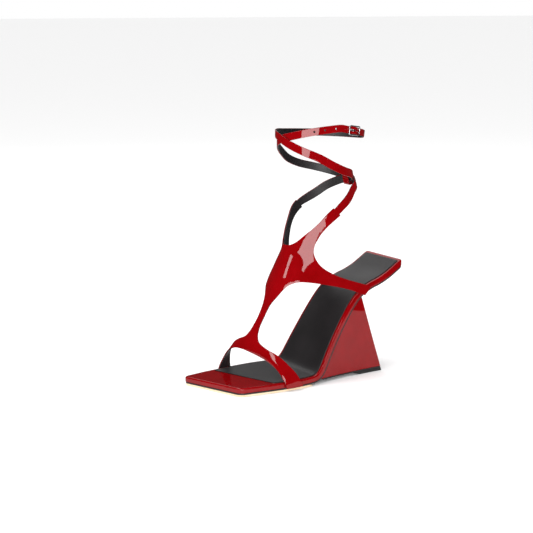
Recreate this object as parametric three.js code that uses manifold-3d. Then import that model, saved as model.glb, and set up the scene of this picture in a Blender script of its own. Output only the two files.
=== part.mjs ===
// Left wedge sandal with a T-bar vamp and crossed ankle straps. Millimetres, +Z up.
// The toe points to -Y, the heel to +Y, and +X is the outer (lateral) side of a left foot.
// z = 0 is the floor, and x = 0 is the middle of the heel seat. The shapes are drawn with y
// measured from the toe; the finished meshes are set back so that y = 0 is half way along.
import * as THREE from 'three';
import { mergeVertices } from 'three/addons/utils/BufferGeometryUtils.js';
import { TessellateModifier } from 'three/addons/modifiers/TessellateModifier.js';
import Module from 'manifold-3d';

const wasm = await Module();
wasm.setup();

// ---------- driving dimensions ----------

const MIDDLE_Y = 106.7;         // from the toe to half way along the sandal
const GAP = 0.25;               // air between pieces that lie on each other
const RAND_HEIGHT = 4.8;        // covered platform above the feather line
const RUNNER_THICKNESS = 1.5;   // black bottom layer below the feather line
const TREAD_THICKNESS = 1.65;   // natural leather sole under the forepart
const TREAD_END_Y = 103;
const COVER_WALL = 1.3;         // leather and board edge at the side of the rand
const COVER_BORDER = 3.2;       // red border left showing round the insock
const BOARD = { low: 0.3, thickness: 2 };
const FOAM_THICKNESS = 1.3;
const INSOCK_THICKNESS = 0.8;
const INSOCK_FRONT = { y: 46, slope: 0.36 };
const SHANK = { width: 12, thickness: 1.1, low: 0.15, y0: 84, y1: 186 };
const WEDGE = { inset: 1.5, skin: 1.2, baseZ: 4.5, frontY: 114.5, rearY: 187.4, rearLean: 0.338 };
const PAD_THICKNESS = 1.2;
const LIFT = { frontTopY: 153.5, frontY: 161.5, rearTopY: 188, rearY: 188.8 };
const LINING = { low: 0.2, high: 0.7 };   // leather lining, measured out from the foot
const OUTER = { low: 1, high: 1.7 };     // patent leather over it
const STRAP_WIDTH = { start: 9, middle: 7.6, tip: 6.2, change: 0.35 };   // change: share of its length
const STRAP_STEPS = { outer: 105, inner: 115 };
const HOLES = { phis: [413.5, 428, 442.5], radius: 1 };   // degrees along the outer strap
const BUCKLE = {
  phi: 109, height: 237.6, tilt: -9,      // place on the leg
  halfLength: 7.75, barWidth: 1.4,        // along the strap
  halfHeight: 4.6, railHeight: 1,         // across the strap
  low: 3.1, high: 4.3,                    // how far out the frame lies
  pinOut: 1.9, pinRadius: 0.6,            // the centre bar
  slack: 0.25, loopWall: 0.7,
};
const KEEPER = { height: 189.6, halfWidth: 4.2, innerHalfHeight: 6.2, wall: 1.1, low: -1.1, high: 4.2 };

// ---------- materials ----------

const finish = (color, roughness, metalness = 0) =>
  new THREE.MeshStandardMaterial({ color, roughness, metalness });
const redPatent = () => finish(0xa3050f, 0.12);
const blackLeather = () => finish(0x1b181a, 0.55);
const blackEdge = () => finish(0x141213, 0.4);
const naturalLeather = () => finish(0xd8c3a4, 0.7);
const fibreBoard = () => finish(0x9a7b55, 0.9);
const foam = () => finish(0xd9d4c4, 0.95);
const moulded = () => finish(0x2c2a29, 0.6);
const rubber = () => finish(0x121212, 0.8);
const steel = () => finish(0xb9bcc0, 0.3, 1);
const nickel = () => finish(0xc9c9cc, 0.18, 1);

// ---------- solids ----------

const X = new THREE.Vector3(1, 0, 0);
const Y = new THREE.Vector3(0, 1, 0);
const Z = new THREE.Vector3(0, 0, 1);
const FAR = 400;

const toSolid = (geometry) => {
  geometry.deleteAttribute('normal');
  geometry.deleteAttribute('uv');
  const merged = mergeVertices(geometry, 1e-4);
  return new wasm.Manifold(new wasm.Mesh({
    numProp: 3,
    vertProperties: Float32Array.from(merged.attributes.position.array),
    triVerts: Uint32Array.from(merged.index.array),
  }));
};

const toGeometry = (solid) => {
  const mesh = solid.getMesh();
  const geometry = new THREE.BufferGeometry();
  geometry.setAttribute('position', new THREE.BufferAttribute(mesh.vertProperties, 3));
  geometry.setIndex(new THREE.BufferAttribute(mesh.triVerts, 1));
  geometry.computeVertexNormals();
  return geometry;
};

// An outline without repeated points or points in the middle of a straight run.
const cleanOutline = (points) => points.filter(([a, b], i) => {
  const [a0, b0] = points[(i + points.length - 1) % points.length];
  const [a1, b1] = points[(i + 1) % points.length];
  const twist = (a - a0) * (b1 - b) - (b - b0) * (a1 - a);
  return Math.hypot(a1 - a, b1 - b) > 1e-3 && Math.abs(twist) > 1e-6;
});

const prism = (points, depth, basis = new THREE.Matrix4()) => {
  const shape = new THREE.Shape(cleanOutline(points).map(([a, b]) => new THREE.Vector2(a, b)));
  const geometry = new THREE.ExtrudeGeometry(shape, { depth, bevelEnabled: false });
  geometry.applyMatrix4(basis);
  return toSolid(geometry);
};

// A side outline in (y, z), cut through the whole width.
const sideBasis = new THREE.Matrix4().makeBasis(Y, Z, X).setPosition(-FAR / 2, 0, 0);
const sidePrism = (points) => prism(points, FAR, sideBasis);

// A plan outline in (x, y), cut through the whole height.
const planBasis = new THREE.Matrix4().makeTranslation(0, 0, -FAR / 4);
const planPrism = (points) => prism(points, FAR, planBasis);

const rod = (radius, length, place) => {
  const geometry = new THREE.CylinderGeometry(radius, radius, length, 20);
  geometry.rotateX(Math.PI / 2);
  geometry.applyMatrix4(place);
  return toSolid(geometry);
};

// ---------- the sole ----------

const curveThrough = (points) =>
  new THREE.SplineCurve(points.map(([a, b]) => new THREE.Vector2(a, b)));

const toeOuter = [33.4, 23.6];
const toeInner = [-32.2, -0.6];
const outerEdge = curveThrough([
  toeOuter, [34.7, 35], [37.4, 54], [39.3, 74], [38.8, 90], [36.9, 108],
  [33.6, 130], [31, 155], [29.8, 180], [29.4, 212],
]);
const innerEdge = curveThrough([
  [-29.4, 212], [-29.6, 180], [-30.2, 155], [-32.2, 130], [-36, 110],
  [-40.2, 88], [-40.6, 68], [-38.8, 46], [-36.2, 22], toeInner,
]);
const CORNER = { toe: 6, heel: 4 };
const STEPS = 32;

const roundCorner = (before, corner, after, radius) => {
  const towards = (target) => {
    const direction = target.clone().sub(corner).normalize();
    return corner.clone().addScaledVector(direction, radius);
  };
  const bend = new THREE.QuadraticBezierCurve(towards(before), corner, towards(after));
  return bend.getPoints(5);
};

// The sole's plan moved inwards, each point along the mean of its two edges' normals, and its
// four corners rounded.
const insetOutline = (distance) => {
  const points = [...outerEdge.getSpacedPoints(STEPS), ...innerEdge.getSpacedPoints(STEPS)];
  const count = points.length;
  const moved = points.map((point, i) => {
    const a = point.clone().sub(points[(i + count - 1) % count]).normalize();
    const b = points[(i + 1) % count].clone().sub(point).normalize();
    const normal = new THREE.Vector2(-a.y - b.y, a.x + b.x).normalize();
    const cosHalf = Math.max(0.6, normal.dot(new THREE.Vector2(-a.y, a.x)));
    return point.clone().addScaledVector(normal, distance / cosHalf);
  });
  const corners = [[0, CORNER.toe], [STEPS, CORNER.heel], [STEPS + 1, CORNER.heel],
    [2 * STEPS + 1, CORNER.toe]].map(([i, size]) => [i, Math.max(1.2, size - distance)]);
  const rounded = moved.map((point, i) => {
    const corner = corners.find(([k]) => k === i);
    if (corner) {
      const [before, after] = [moved[(i + count - 1) % count], moved[(i + 1) % count]];
      return roundCorner(before, point, after, corner[1]);
    }
    const crowded = corners.some(([k, size]) => moved[k].distanceTo(point) < size + 0.4);
    return crowded ? [] : [point];
  });
  return rounded.flat().map(({ x, y }) => [x, y]);
};

// Feather line: the side view of the joint between the covered platform and the runner.
const featherLine = curveThrough([
  [-14, 3.4], [30, 3.4], [70, 3.4], [96, 3.5], [106, 4.4], [111.8, 7.6], [116.2, 13], [121.5, 22.5],
  [128.5, 34.7], [137, 48.5], [146, 61.5], [154, 71.7], [162, 79], [173, 84.8],
  [184, 88.4], [195, 93.2], [207, 100.4], [222, 110],
]);
const LINE_STEPS = 64;

const offsetLine = (distance) => {
  const line = [];
  for (let i = 0; i <= LINE_STEPS; i += 1) {
    const point = featherLine.getPointAt(i / LINE_STEPS);
    const tangent = featherLine.getTangentAt(i / LINE_STEPS);
    line.push([point.x - tangent.y * distance, point.y + tangent.x * distance]);
  }
  return line;
};

const layer = (inset, low, high) => {
  const band = [...offsetLine(low), ...offsetLine(high).reverse()];
  return sidePrism(band).intersect(planPrism(insetOutline(inset)));
};

// A place on the sole at a given y, its Z axis square to the sole.
const onSole = (x, y, distance) => {
  let u = 0.5;
  for (let step = 0.25; step > 1e-5; step /= 2) {
    u += featherLine.getPointAt(u).x < y ? step : -step;
  }
  const point = featherLine.getPointAt(u);
  const tangent = featherLine.getTangentAt(u);
  const along = new THREE.Vector3(0, tangent.x, tangent.y);
  const normal = new THREE.Vector3(0, -tangent.y, tangent.x);
  const place = new THREE.Matrix4().makeBasis(X, along, normal);
  return place.setPosition(x, point.x - tangent.y * distance, point.y + tangent.x * distance);
};

const behindInsockFront = (margin) => {
  const front = (x) => INSOCK_FRONT.y + INSOCK_FRONT.slope * x + margin;
  return planPrism([[-60, front(-60)], [60, front(60)], [60, 260], [-60, 260]]);
};

// ---------- fasteners ----------

const screwSpots = [[-13, 138], [13, 138], [-12, 156], [12, 156]];
const SCREW = { headRadius: 2.6, headHeight: 1.1, radius: 1.4, length: 13, top: 2.2 };

const screwAt = ([x, y], slack) => {
  const shaft = rod(SCREW.radius + slack, SCREW.length + slack,
    onSole(x, y, SCREW.top - (SCREW.length + slack) / 2));
  const headPlace = onSole(x, y, SCREW.top - SCREW.headHeight / 2);
  return shaft.add(rod(SCREW.headRadius + slack, SCREW.headHeight + slack, headPlace));
};

const BORE_SLACK = 0.3;         // air round a screw, rivet or pin
const screwHoles = screwSpots.map((spot) => screwAt(spot, BORE_SLACK)).reduce((a, b) => a.add(b));

const rivetStations = { shank_rivet_front: 92, shank_rivet_rear: 179 };
const RIVET = { radius: 1.4, length: 2, middle: 1.2, headRadius: 2.4, headHeight: 0.5, headMiddle: 1.95 };
const rivetAt = (y, slack) => {
  const shaft = rod(RIVET.radius + slack, RIVET.length + slack, onSole(0, y, RIVET.middle));
  const headPlace = onSole(0, y, RIVET.headMiddle);
  return shaft.add(rod(RIVET.headRadius + slack, RIVET.headHeight + slack, headPlace));
};
const rivetHoles = Object.values(rivetStations).map((y) => rivetAt(y, BORE_SLACK));

const liftPins = { lift_pin_inner: -13, lift_pin_outer: 13 };
const LIFT_PIN = { radius: 1, length: 15, y: 176, middleZ: 8.8 };
const pinAt = (x, slack) => rod(LIFT_PIN.radius + slack, LIFT_PIN.length + 2 * slack,
  new THREE.Matrix4().makeTranslation(x, LIFT_PIN.y, LIFT_PIN.middleZ));
const pinHoles = Object.values(liftPins).map((x) => pinAt(x, BORE_SLACK)).reduce((a, b) => a.add(b));

// ---------- wedge ----------

// What lies below the runner, in front of the wedge's rear face and above its base.
const wedgeBlock = (inset, shrink) => {
  const below = offsetLine(-RUNNER_THICKNESS - GAP - shrink).filter(([y]) => y < 190);
  const underRunner = sidePrism([...below, [190, -60], [-20, -60]]);
  const rear = WEDGE.rearY - shrink;
  const side = sidePrism([
    [WEDGE.frontY + shrink, WEDGE.baseZ], [rear, WEDGE.baseZ],
    [rear - 100 * WEDGE.rearLean, WEDGE.baseZ + 100], [WEDGE.frontY + shrink, 100],
  ]);
  return side.intersect(underRunner).intersect(planPrism(insetOutline(inset)));
};

const wedgeCore = () => wedgeBlock(WEDGE.inset + WEDGE.skin + GAP, WEDGE.skin + GAP)
  .subtract(screwHoles)
  .subtract(pinHoles);

// The leather skin goes round both sides and the rear, and leaves the core's front tip bare inside.
const wedgeCover = () => {
  const cavity = wedgeBlock(WEDGE.inset + WEDGE.skin, WEDGE.skin);
  return wedgeBlock(WEDGE.inset, 0)
    .subtract(cavity)
    .subtract(cavity.translate([0, 0, -WEDGE.skin - 1]))
    .subtract(cavity.translate([0, 0, WEDGE.skin + 1]))
    .subtract(screwHoles);
};

const basePad = () => {
  const top = WEDGE.baseZ - GAP;
  return sidePrism([
    [WEDGE.frontY, top], [WEDGE.frontY, top - PAD_THICKNESS],
    [WEDGE.rearY + 0.3, top - PAD_THICKNESS], [WEDGE.rearY, top],
  ]).intersect(planPrism(insetOutline(WEDGE.inset))).subtract(pinHoles);
};

const heelLift = () => {
  const top = WEDGE.baseZ - 2 * GAP - PAD_THICKNESS;
  return sidePrism([
    [LIFT.frontY, 0], [LIFT.rearY, 0], [LIFT.rearTopY, top], [LIFT.frontTopY, top],
  ]).intersect(planPrism(insetOutline(WEDGE.inset))).subtract(pinHoles);
};

// ---------- foot and leg form ----------

// The surface that the upper lies on. Each row is one girth, named by the height of its highest
// point on the instep: that point's y, the half width, the y and z where the girth is widest,
// the slant across the foot, and how flat the front is.
const girths = [
  [31, 55, 39.8, 56, 3, 0.323, 1],
  [40, 57, 41, 71.5, 3.5, 0.344, 1],
  [55, 61.5, 39, 95, 20, 0.25, 1],
  [63, 65.3, 37, 112, 34, 0.18, 1],
  [75, 71, 35, 133, 54, 0.09, 1.1],
  [86, 76, 32, 150, 67, 0.03, 1.2],
  [97, 80, 30.6, 165, 78, 0, 1.25],
  [112, 87, 30.2, 172, 88, 0, 1.15],
  [130, 94.5, 30.5, 152, 118, 0, 0.9],
  [150, 96.5, 31, 137, 150, 0, 0.85],
  [173, 92.5, 30.7, 131, 173, 0, 1],
  [200, 90.5, 29.2, 126.8, 200, 0, 1],
  [235, 90.5, 31, 133.8, 235, 0, 1],
  [260, 90.5, 31, 133.8, 260, 0, 1],
];

// Fritsch-Carlson slopes, so that no girth bulges between two rows.
const smoothColumn = (column) => {
  const t = girths.map((row) => row[0]);
  const v = girths.map((row) => row[column]);
  const last = t.length - 1;
  const secant = t.slice(1).map((value, i) => (v[i + 1] - v[i]) / (value - t[i]));
  const slope = t.map((value, i) => {
    if (i === 0 || i === last) return 0;
    const [a, b] = [secant[i - 1], secant[i]];
    if (a * b <= 0) return 0;
    const [h0, h1] = [t[i] - t[i - 1], t[i + 1] - t[i]];
    return (3 * (h0 + h1)) / ((2 * h1 + h0) / a + (h1 + 2 * h0) / b);
  });
  return (at) => {
    const clamped = Math.min(Math.max(at, t[0]), t[last]);
    const i = Math.min(Math.max(t.findIndex((value) => value > clamped) - 1, 0), last - 1);
    const k = t[0] > clamped || clamped === t[last] ? last - 1 : i;
    const h = t[k + 1] - t[k];
    const s = (clamped - t[k]) / h;
    return v[k] * (1 + 2 * s) * (1 - s) ** 2 + slope[k] * h * s * (1 - s) ** 2
      + v[k + 1] * s * s * (3 - 2 * s) + slope[k + 1] * h * s * s * (s - 1);
  };
};

const [topY, halfWidth, sideY, sideZ, slant, flatness] = [1, 2, 3, 4, 5, 6].map(smoothColumn);

// phi: degrees round the leg from the front, + to the outer side. t: the girth's height.
const onForm = (phi, t) => {
  const angle = THREE.MathUtils.degToRad(phi);
  const fall = (1 - Math.cos(angle)) ** flatness(t);
  const x = halfWidth(t) * Math.sin(angle);
  const y = topY(t) + (sideY(t) - topY(t)) * fall + slant(t) * x;
  return new THREE.Vector3(x, y, t + (sideZ(t) - t) * fall);
};

const normalOnForm = (phi, t) => {
  const round = onForm(phi + 0.5, t).sub(onForm(phi - 0.5, t));
  const up = onForm(phi, t + 0.3).sub(onForm(phi, t - 0.3));
  return round.cross(up).normalize();
};

const offForm = (phi, t, distance) =>
  onForm(phi, t).addScaledVector(normalOnForm(phi, t), distance);

// ---------- vamp ----------

const MM_PER_DEGREE = 0.62;   // rough width of one degree, for laying a pattern out flat
const MAX_EDGE = 8.5;

const smoothRun = (points, steps) => {
  const flat = points.map(([phi, t]) => new THREE.Vector2(phi * MM_PER_DEGREE, t));
  return new THREE.SplineCurve(flat).getPoints(steps * (points.length - 1));
};

const armUpper = [[0, 130.2], [8, 130.6], [15, 132.6], [21.5, 135.7], [32, 141.9], [43.4, 147.5],
  [52.8, 152.2], [67.9, 160], [81.7, 166.3]];
const armLower = [[90, 158.4], [70.8, 151.6], [56.4, 144.7], [49, 139.2], [44.4, 134], [43, 127.7],
  [47.1, 122.1], [53.8, 117.8], [63.7, 114.4], [72.4, 112.7], [83.2, 111.6], [89.5, 111]];
const wingLower = [[89.5, 97.6], [81, 100.8], [73, 102.3], [60.7, 102.5], [47.8, 101.7],
  [40, 100.3], [32.7, 96.9], [27.8, 92.9], [20, 84.6], [11.5, 75.2], [7.8, 62.6], [6.5, 53],
  [7, 47], [11, 41.6], [23, 39], [35, 39.1], [45, 39.3], [58, 39.3], [70, 40], [90, 40.5]];
const toeFront = [[90, 31], [75, 31], [52, 29.9], [33, 29.7], [17, 29.8], [1.6, 31.1],
  [-13.5, 33.3], [-25, 35], [-41, 36.8], [-60, 36], [-76, 33.6], [-90, 31]];
const innerToeBack = [[-90, 40.5], [-70, 42], [-45, 43.2], [-31, 43.8], [-20, 44.4], [-13, 45.6],
  [-8.6, 49], [-4.6, 55], [-2.4, 63.4], [-2.6, 74.5], [-7, 83], [-16, 90], [-27.8, 95.4],
  [-40, 100.6], [-47.8, 101.7], [-60.7, 102.5], [-73, 102.3], [-81, 100.8], [-89.5, 97.6]];
const mirrored = (run) => run.map(([phi, t]) => [-phi, t]).reverse();

const vampOutline = () => [
  smoothRun(armUpper, 2), smoothRun(armLower, 2), smoothRun(wingLower, 2),
  smoothRun(toeFront, 2), smoothRun(innerToeBack, 2),
  smoothRun(mirrored(armLower), 2), smoothRun(mirrored(armUpper), 2).slice(0, -1),
].flat();

const wrapVamp = ({ low, high }) => {
  const shape = new THREE.Shape(vampOutline());
  const sheet = new THREE.ExtrudeGeometry(shape, { depth: high - low, bevelEnabled: false });
  const fine = new TessellateModifier(MAX_EDGE, 12).modify(sheet);
  const position = fine.attributes.position;
  for (let i = 0; i < position.count; i += 1) {
    const phi = position.getX(i) / MM_PER_DEGREE;
    const place = offForm(phi, position.getY(i), low + position.getZ(i));
    position.setXYZ(i, place.x, place.y, place.z);
  }
  return toSolid(fine);
};

// ---------- straps ----------

// Each point is [phi, t, lift]. The outer strap leaves the outer arm, goes round the back,
// forward on the inner side, under the other at the front, and back to the buckle.
const DEGREES_PER_MM = 1.3;   // along a strap at the buckle
const atBuckle = (turn) => ([along, lift]) => [
  turn + BUCKLE.phi + along * DEGREES_PER_MM,
  BUCKLE.height + along * Math.tan(THREE.MathUtils.degToRad(BUCKLE.tilt)), lift,
];
const outerStrapRoute = [
  [87.4, 163.2, 0], [96.5, 167.5, 0], [115, 175.3, 0], [128, 180.6, 0.3], [140, 184.2, 1.8],
  [155, 186.8, 1.8], [168, 188.2, 1.8], [180, 189.4, 1.8], [197, 191.3, 1.8],
  [212, 193.7, 1.8], [224, 195.9, 1], [244, 199.2, 0], [265, 202.6, 0], [289, 208.7, 0],
  [307, 215.9, 0], [326, 222.6, 0], [345, 227.6, 0], [360, 230.6, 0], [383, 234, 0],
  [400, 236.5, 0], [412, 237.9, 0], [430, 239.3, 0],
  ...[[-14, 0], [-9, 0], [-7, 0.45], [-5, 1.45], [-3, 2.75], [-1.3, 3.5], [0, 3.7], [1.3, 3.5],
    [3, 2.65], [5, 1.6], [7, 1.15], [9.6, 1.15]].map(atBuckle(360)),
];
const innerStrapRoute = [
  [-87.4, 163.2, 0], [-101.5, 167.9, 0], [-117, 173.4, 0], [-134, 179.8, 0], [-157, 185.5, 0],
  [-180, 189.2, 0], [-203, 192.6, 0], [-232, 197.4, 0], [-248, 200.3, 0], [-272, 206.5, 0],
  [-291, 212.7, 0], [-303, 216.1, 0.4], [-313, 218.7, 1.8], [-326, 222.2, 1.8],
  [-340, 226.1, 1.8], [-352, 229.5, 1.8], [-365, 232.6, 1.8], [-381, 234.6, 1.8],
  [-398, 234.9, 0.5], [-416, 233.9, 0], [-447, 232.4, 0], [-474, 231.4, 0],
  [-497, 230.7, 0], [-529, 230.4, 0], [-555, 231.2, 0],
  ...[[20, 0], [15, 0], [12.5, -0.35], [10.5, -0.62], [7, -0.65], [0.9, -0.65]]
    .map(atBuckle(-720)),
];

const routeCurve = (route) => new THREE.CatmullRomCurve3(
  route.map(([phi, t, lift]) => new THREE.Vector3(phi * MM_PER_DEGREE, t, lift)),
  false, 'centripetal',
);

const alongRoute = (curve, u) => {
  const at = curve.getPoint(u);
  return { phi: at.x / MM_PER_DEGREE, t: at.y, lift: at.z };
};

const taper = (u) => {
  const { start, middle, tip, change } = STRAP_WIDTH;
  const { lerp } = THREE.MathUtils;
  return u < change ? lerp(start, middle, u / change)
    : lerp(middle, tip, (u - change) / (1 - change));
};

// A strap of rectangular section swept along its route, square to the leg.
const strap = (route, steps, { low, high }) => {
  const curve = routeCurve(route);
  const centre = (u) => {
    const { phi, t, lift } = alongRoute(curve, u);
    return offForm(phi, t, lift);
  };
  const vertices = [];
  for (let i = 0; i <= steps; i += 1) {
    const u = i / steps;
    const { phi, t } = alongRoute(curve, u);
    const ahead = centre(Math.min(u + 0.002, 1));
    const tangent = ahead.sub(centre(Math.max(u - 0.002, 0))).normalize();
    const side = new THREE.Vector3().crossVectors(normalOnForm(phi, t), tangent).normalize();
    const out = new THREE.Vector3().crossVectors(tangent, side).normalize();
    [[-1, low], [1, low], [1, high], [-1, high]].forEach(([sign, distance]) => {
      const corner = centre(u).addScaledVector(side, (sign * taper(u)) / 2);
      vertices.push(corner.addScaledVector(out, distance));
    });
  }
  const index = [0, 2, 1, 0, 3, 2];
  for (let i = 0; i < steps; i += 1) {
    for (let k = 0; k < 4; k += 1) {
      const [a, b] = [4 * i + k, 4 * i + ((k + 1) % 4)];
      index.push(a, b, b + 4, a, b + 4, a + 4);
    }
  }
  const end = 4 * steps;
  index.push(end, end + 1, end + 2, end, end + 2, end + 3);
  const geometry = new THREE.BufferGeometry().setFromPoints(vertices);
  return toSolid(geometry.setIndex(index));
};

// A frame on the leg: e along increasing phi, h up, n outwards.
const legFrame = (phi, t) => {
  const normal = normalOnForm(phi, t);
  const along = onForm(phi + 0.5, t).sub(onForm(phi - 0.5, t)).normalize();
  const up = new THREE.Vector3().crossVectors(normal, along).normalize();
  return new THREE.Matrix4().makeBasis(along, up, normal).setPosition(onForm(phi, t));
};

const punchedHoles = () => HOLES.phis.map((phi) => {
  const curve = routeCurve(outerStrapRoute);
  let u = 0.75;
  for (let step = 0.25; step > 1e-4; step /= 2) {
    u += alongRoute(curve, u).phi < phi ? step : -step;
  }
  return rod(HOLES.radius, 8, legFrame(phi, alongRoute(curve, u).t));
}).reduce((a, b) => a.add(b));

// ---------- buckle ----------

const buckleFrame = legFrame(BUCKLE.phi, BUCKLE.height)
  .multiply(new THREE.Matrix4().makeRotationZ(THREE.MathUtils.degToRad(BUCKLE.tilt)));

// A side outline in (e, n) of the buckle's frame, as deep as its two h values.
const buckleSlab = (points, h0, h1) => {
  const basis = new THREE.Matrix4().makeBasis(X, Z, Y.clone().negate()).setPosition(0, h1, 0);
  return prism(points, h1 - h0, buckleFrame.clone().multiply(basis));
};

const disc = (e, n, radius) => {
  const points = [];
  for (let i = 0; i < 20; i += 1) {
    const angle = (i / 20) * 2 * Math.PI;
    points.push([e + radius * Math.cos(angle), n + radius * Math.sin(angle)]);
  }
  return points;
};

const frameOfBuckle = () => {
  const { halfLength, barWidth, halfHeight, railHeight, low, high, pinOut, pinRadius } = BUCKLE;
  const railOutline = [
    [-halfLength, high], [-halfLength, low], [-2.3, low], [-1.1, pinOut - 0.9],
    [1.1, pinOut - 0.9], [2.3, low], [halfLength, low], [halfLength, high],
  ];
  const upperRail = buckleSlab(railOutline, halfHeight - railHeight, halfHeight);
  const lowerRail = buckleSlab(railOutline, -halfHeight, railHeight - halfHeight);
  const bar = (e0) => buckleSlab(
    [[e0, low], [e0 + barWidth, low], [e0 + barWidth, high], [e0, high]],
    -halfHeight + 0.2, halfHeight - 0.2);
  const pin = buckleSlab(disc(0, pinOut, pinRadius), -halfHeight + 0.2, halfHeight - 0.2);
  return upperRail.add(lowerRail).add(bar(-halfLength)).add(bar(halfLength - barWidth)).add(pin);
};

const PRONG_HALF = 0.65;
const SLOT_HALF = 1;
const loopBore = () =>
  buckleSlab(disc(0, BUCKLE.pinOut, BUCKLE.pinRadius + BUCKLE.slack), -9, 9);
const loopRound = (half) => {
  const radius = BUCKLE.pinRadius + BUCKLE.slack + BUCKLE.loopWall;
  return buckleSlab(disc(0, BUCKLE.pinOut, radius), -half, half);
};

// The tongue rises from the centre bar and rests over the frame's rear bar.
const prong = () => buckleSlab([
  [0.4, 2.8], [-0.9, 2.4], [-2.4, 3.4], [-4.2, 4.4], [-5.4, 4.6], [-8.3, 4.6],
  [-8.3, 5.2], [-7.9, 5.45], [-5.2, 5.45], [-3.8, 5.15], [-2, 4.2], [-0.5, 3.45],
], -PRONG_HALF, PRONG_HALF).add(loopRound(PRONG_HALF)).subtract(loopBore());

// Room for the prong: one slot in the strap that is threaded, one in the loop round the bar.
const slotInTail = () =>
  buckleSlab([[-5.6, -1], [0.4, -1], [0.4, 9], [-5.6, 9]], -SLOT_HALF, SLOT_HALF);
const slotInLoop = () =>
  buckleSlab([[-4, -3], [2.4, -3], [2.4, 5], [-4, 5]], -SLOT_HALF, SLOT_HALF);
const clearOfBuckle = () => buckleSlab([[-12, -6], [9.5, -6], [9.5, 3], [-12, 3]], -7, 7);

// ---------- back keeper ----------

const keeperFrame = legFrame(180, KEEPER.height);
const backKeeper = () => {
  const { halfWidth, innerHalfHeight, wall, low: innerLow, high: innerHigh } = KEEPER;
  const block = (h, low, high, half) => prism(
    [[-h, low], [h, low], [h, high], [-h, high]], 2 * half,
    keeperFrame.clone().multiply(
      new THREE.Matrix4().makeBasis(Y, Z, X).setPosition(-half, 0, 0)));
  const outer = block(innerHalfHeight + wall, innerLow - wall, innerHigh + wall, halfWidth);
  return outer.subtract(block(innerHalfHeight, innerLow, innerHigh, halfWidth + 2));
};

// ---------- the sandal ----------

const sandal = new THREE.Group();

const add = (name, solid, material) => {
  const mesh = new THREE.Mesh(toGeometry(solid), material);
  mesh.name = name;
  mesh.position.y = -MIDDLE_Y;
  sandal.add(mesh);
};

const shankRoom = (slack) => layer(0, SHANK.low - slack, SHANK.low + SHANK.thickness + slack)
  .intersect(planPrism([
    [-SHANK.width / 2 - slack, SHANK.y0 - slack], [SHANK.width / 2 + slack, SHANK.y0 - slack],
    [SHANK.width / 2 + slack, SHANK.y1 + slack], [-SHANK.width / 2 - slack, SHANK.y1 + slack],
  ]));

const addSole = () => {
  const boardTop = BOARD.low + BOARD.thickness;
  const foamLow = boardTop + GAP;
  const insockLow = foamLow + FOAM_THICKNESS + GAP;
  const treadBlock = sidePrism([
    [-20, 0], [TREAD_END_Y, 0], [TREAD_END_Y - 4, TREAD_THICKNESS], [-20, TREAD_THICKNESS],
  ]);
  add('outsole_tread', treadBlock.intersect(planPrism(insetOutline(0.4))), naturalLeather());
  const runner = layer(0.3, -RUNNER_THICKNESS, -GAP).subtract(screwHoles);
  add('outsole_runner', runner, blackEdge());
  const board = layer(COVER_WALL + GAP, BOARD.low, boardTop)
    .subtract(shankRoom(BORE_SLACK)).subtract(screwHoles)
    .subtract(rivetHoles[0]).subtract(rivetHoles[1]);
  add('insole_board', board, fibreBoard());
  const shank = shankRoom(0).subtract(rivetHoles[0]).subtract(rivetHoles[1]);
  add('steel_shank', shank, steel());
  const boardRoom = layer(COVER_WALL, -2, boardTop + GAP);
  const sockRoom = layer(COVER_BORDER, 1, 9).intersect(behindInsockFront(0));
  add('platform_cover', layer(0, 0, RAND_HEIGHT).subtract(boardRoom).subtract(sockRoom), redPatent());
  const foamPad = layer(COVER_BORDER + 1, foamLow, foamLow + FOAM_THICKNESS);
  add('insole_foam', foamPad.intersect(behindInsockFront(2)), foam());
  const insock = layer(COVER_BORDER + GAP, insockLow, insockLow + INSOCK_THICKNESS);
  add('insock', insock.intersect(behindInsockFront(GAP)), blackLeather());
};

const addFasteners = () => {
  screwSpots.forEach((spot, i) => add(`heel_screw_${i + 1}`, screwAt(spot, 0), steel()));
  Object.entries(rivetStations).forEach(([name, y]) => add(name, rivetAt(y, 0), steel()));
  Object.entries(liftPins).forEach(([name, x]) => add(name, pinAt(x, 0), steel()));
};

const addHeel = () => {
  add('wedge_core', wedgeCore(), moulded());
  add('wedge_cover', wedgeCover(), redPatent());
  add('heel_base_pad', basePad(), blackEdge());
  add('heel_lift', heelLift(), rubber());
};

const addUpper = () => {
  const clearOfRand = layer(-GAP, -RUNNER_THICKNESS - GAP, RAND_HEIGHT + GAP);
  add('vamp_outer', wrapVamp(OUTER).subtract(clearOfRand), redPatent());
  add('vamp_lining', wrapVamp(LINING).subtract(clearOfRand), blackLeather());
  const holes = punchedHoles().add(slotInTail());
  add('outer_strap', strap(outerStrapRoute, STRAP_STEPS.outer, OUTER).subtract(holes), redPatent());
  const outerLining = strap(outerStrapRoute, STRAP_STEPS.outer, LINING).subtract(holes);
  add('outer_strap_lining', outerLining, blackLeather());
  const looped = strap(innerStrapRoute, STRAP_STEPS.inner, OUTER)
    .add(loopRound(STRAP_WIDTH.tip / 2 - 0.2))
    .subtract(loopBore())
    .subtract(slotInLoop());
  add('inner_strap', looped, redPatent());
  const innerLining = strap(innerStrapRoute, STRAP_STEPS.inner, LINING).subtract(clearOfBuckle());
  add('inner_strap_lining', innerLining, blackLeather());
};

const addHardware = () => {
  add('back_keeper', backKeeper(), redPatent());
  add('buckle_frame', frameOfBuckle(), nickel());
  add('buckle_prong', prong(), nickel());
};

addSole();
addFasteners();
addHeel();
addUpper();
addHardware();

export default sandal;
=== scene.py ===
"""Left wedge sandal in red patent leather: a T-bar vamp on a covered wedge sole, with two ankle
straps that cross at the back and the front and meet in a buckle. The sandal's own shapes are
worked out in millimetres, with y measured from the toe, and become metres in one place."""
import math

import bpy
import numpy as np
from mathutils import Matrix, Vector
from mathutils.geometry import delaunay_2d_cdt


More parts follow.
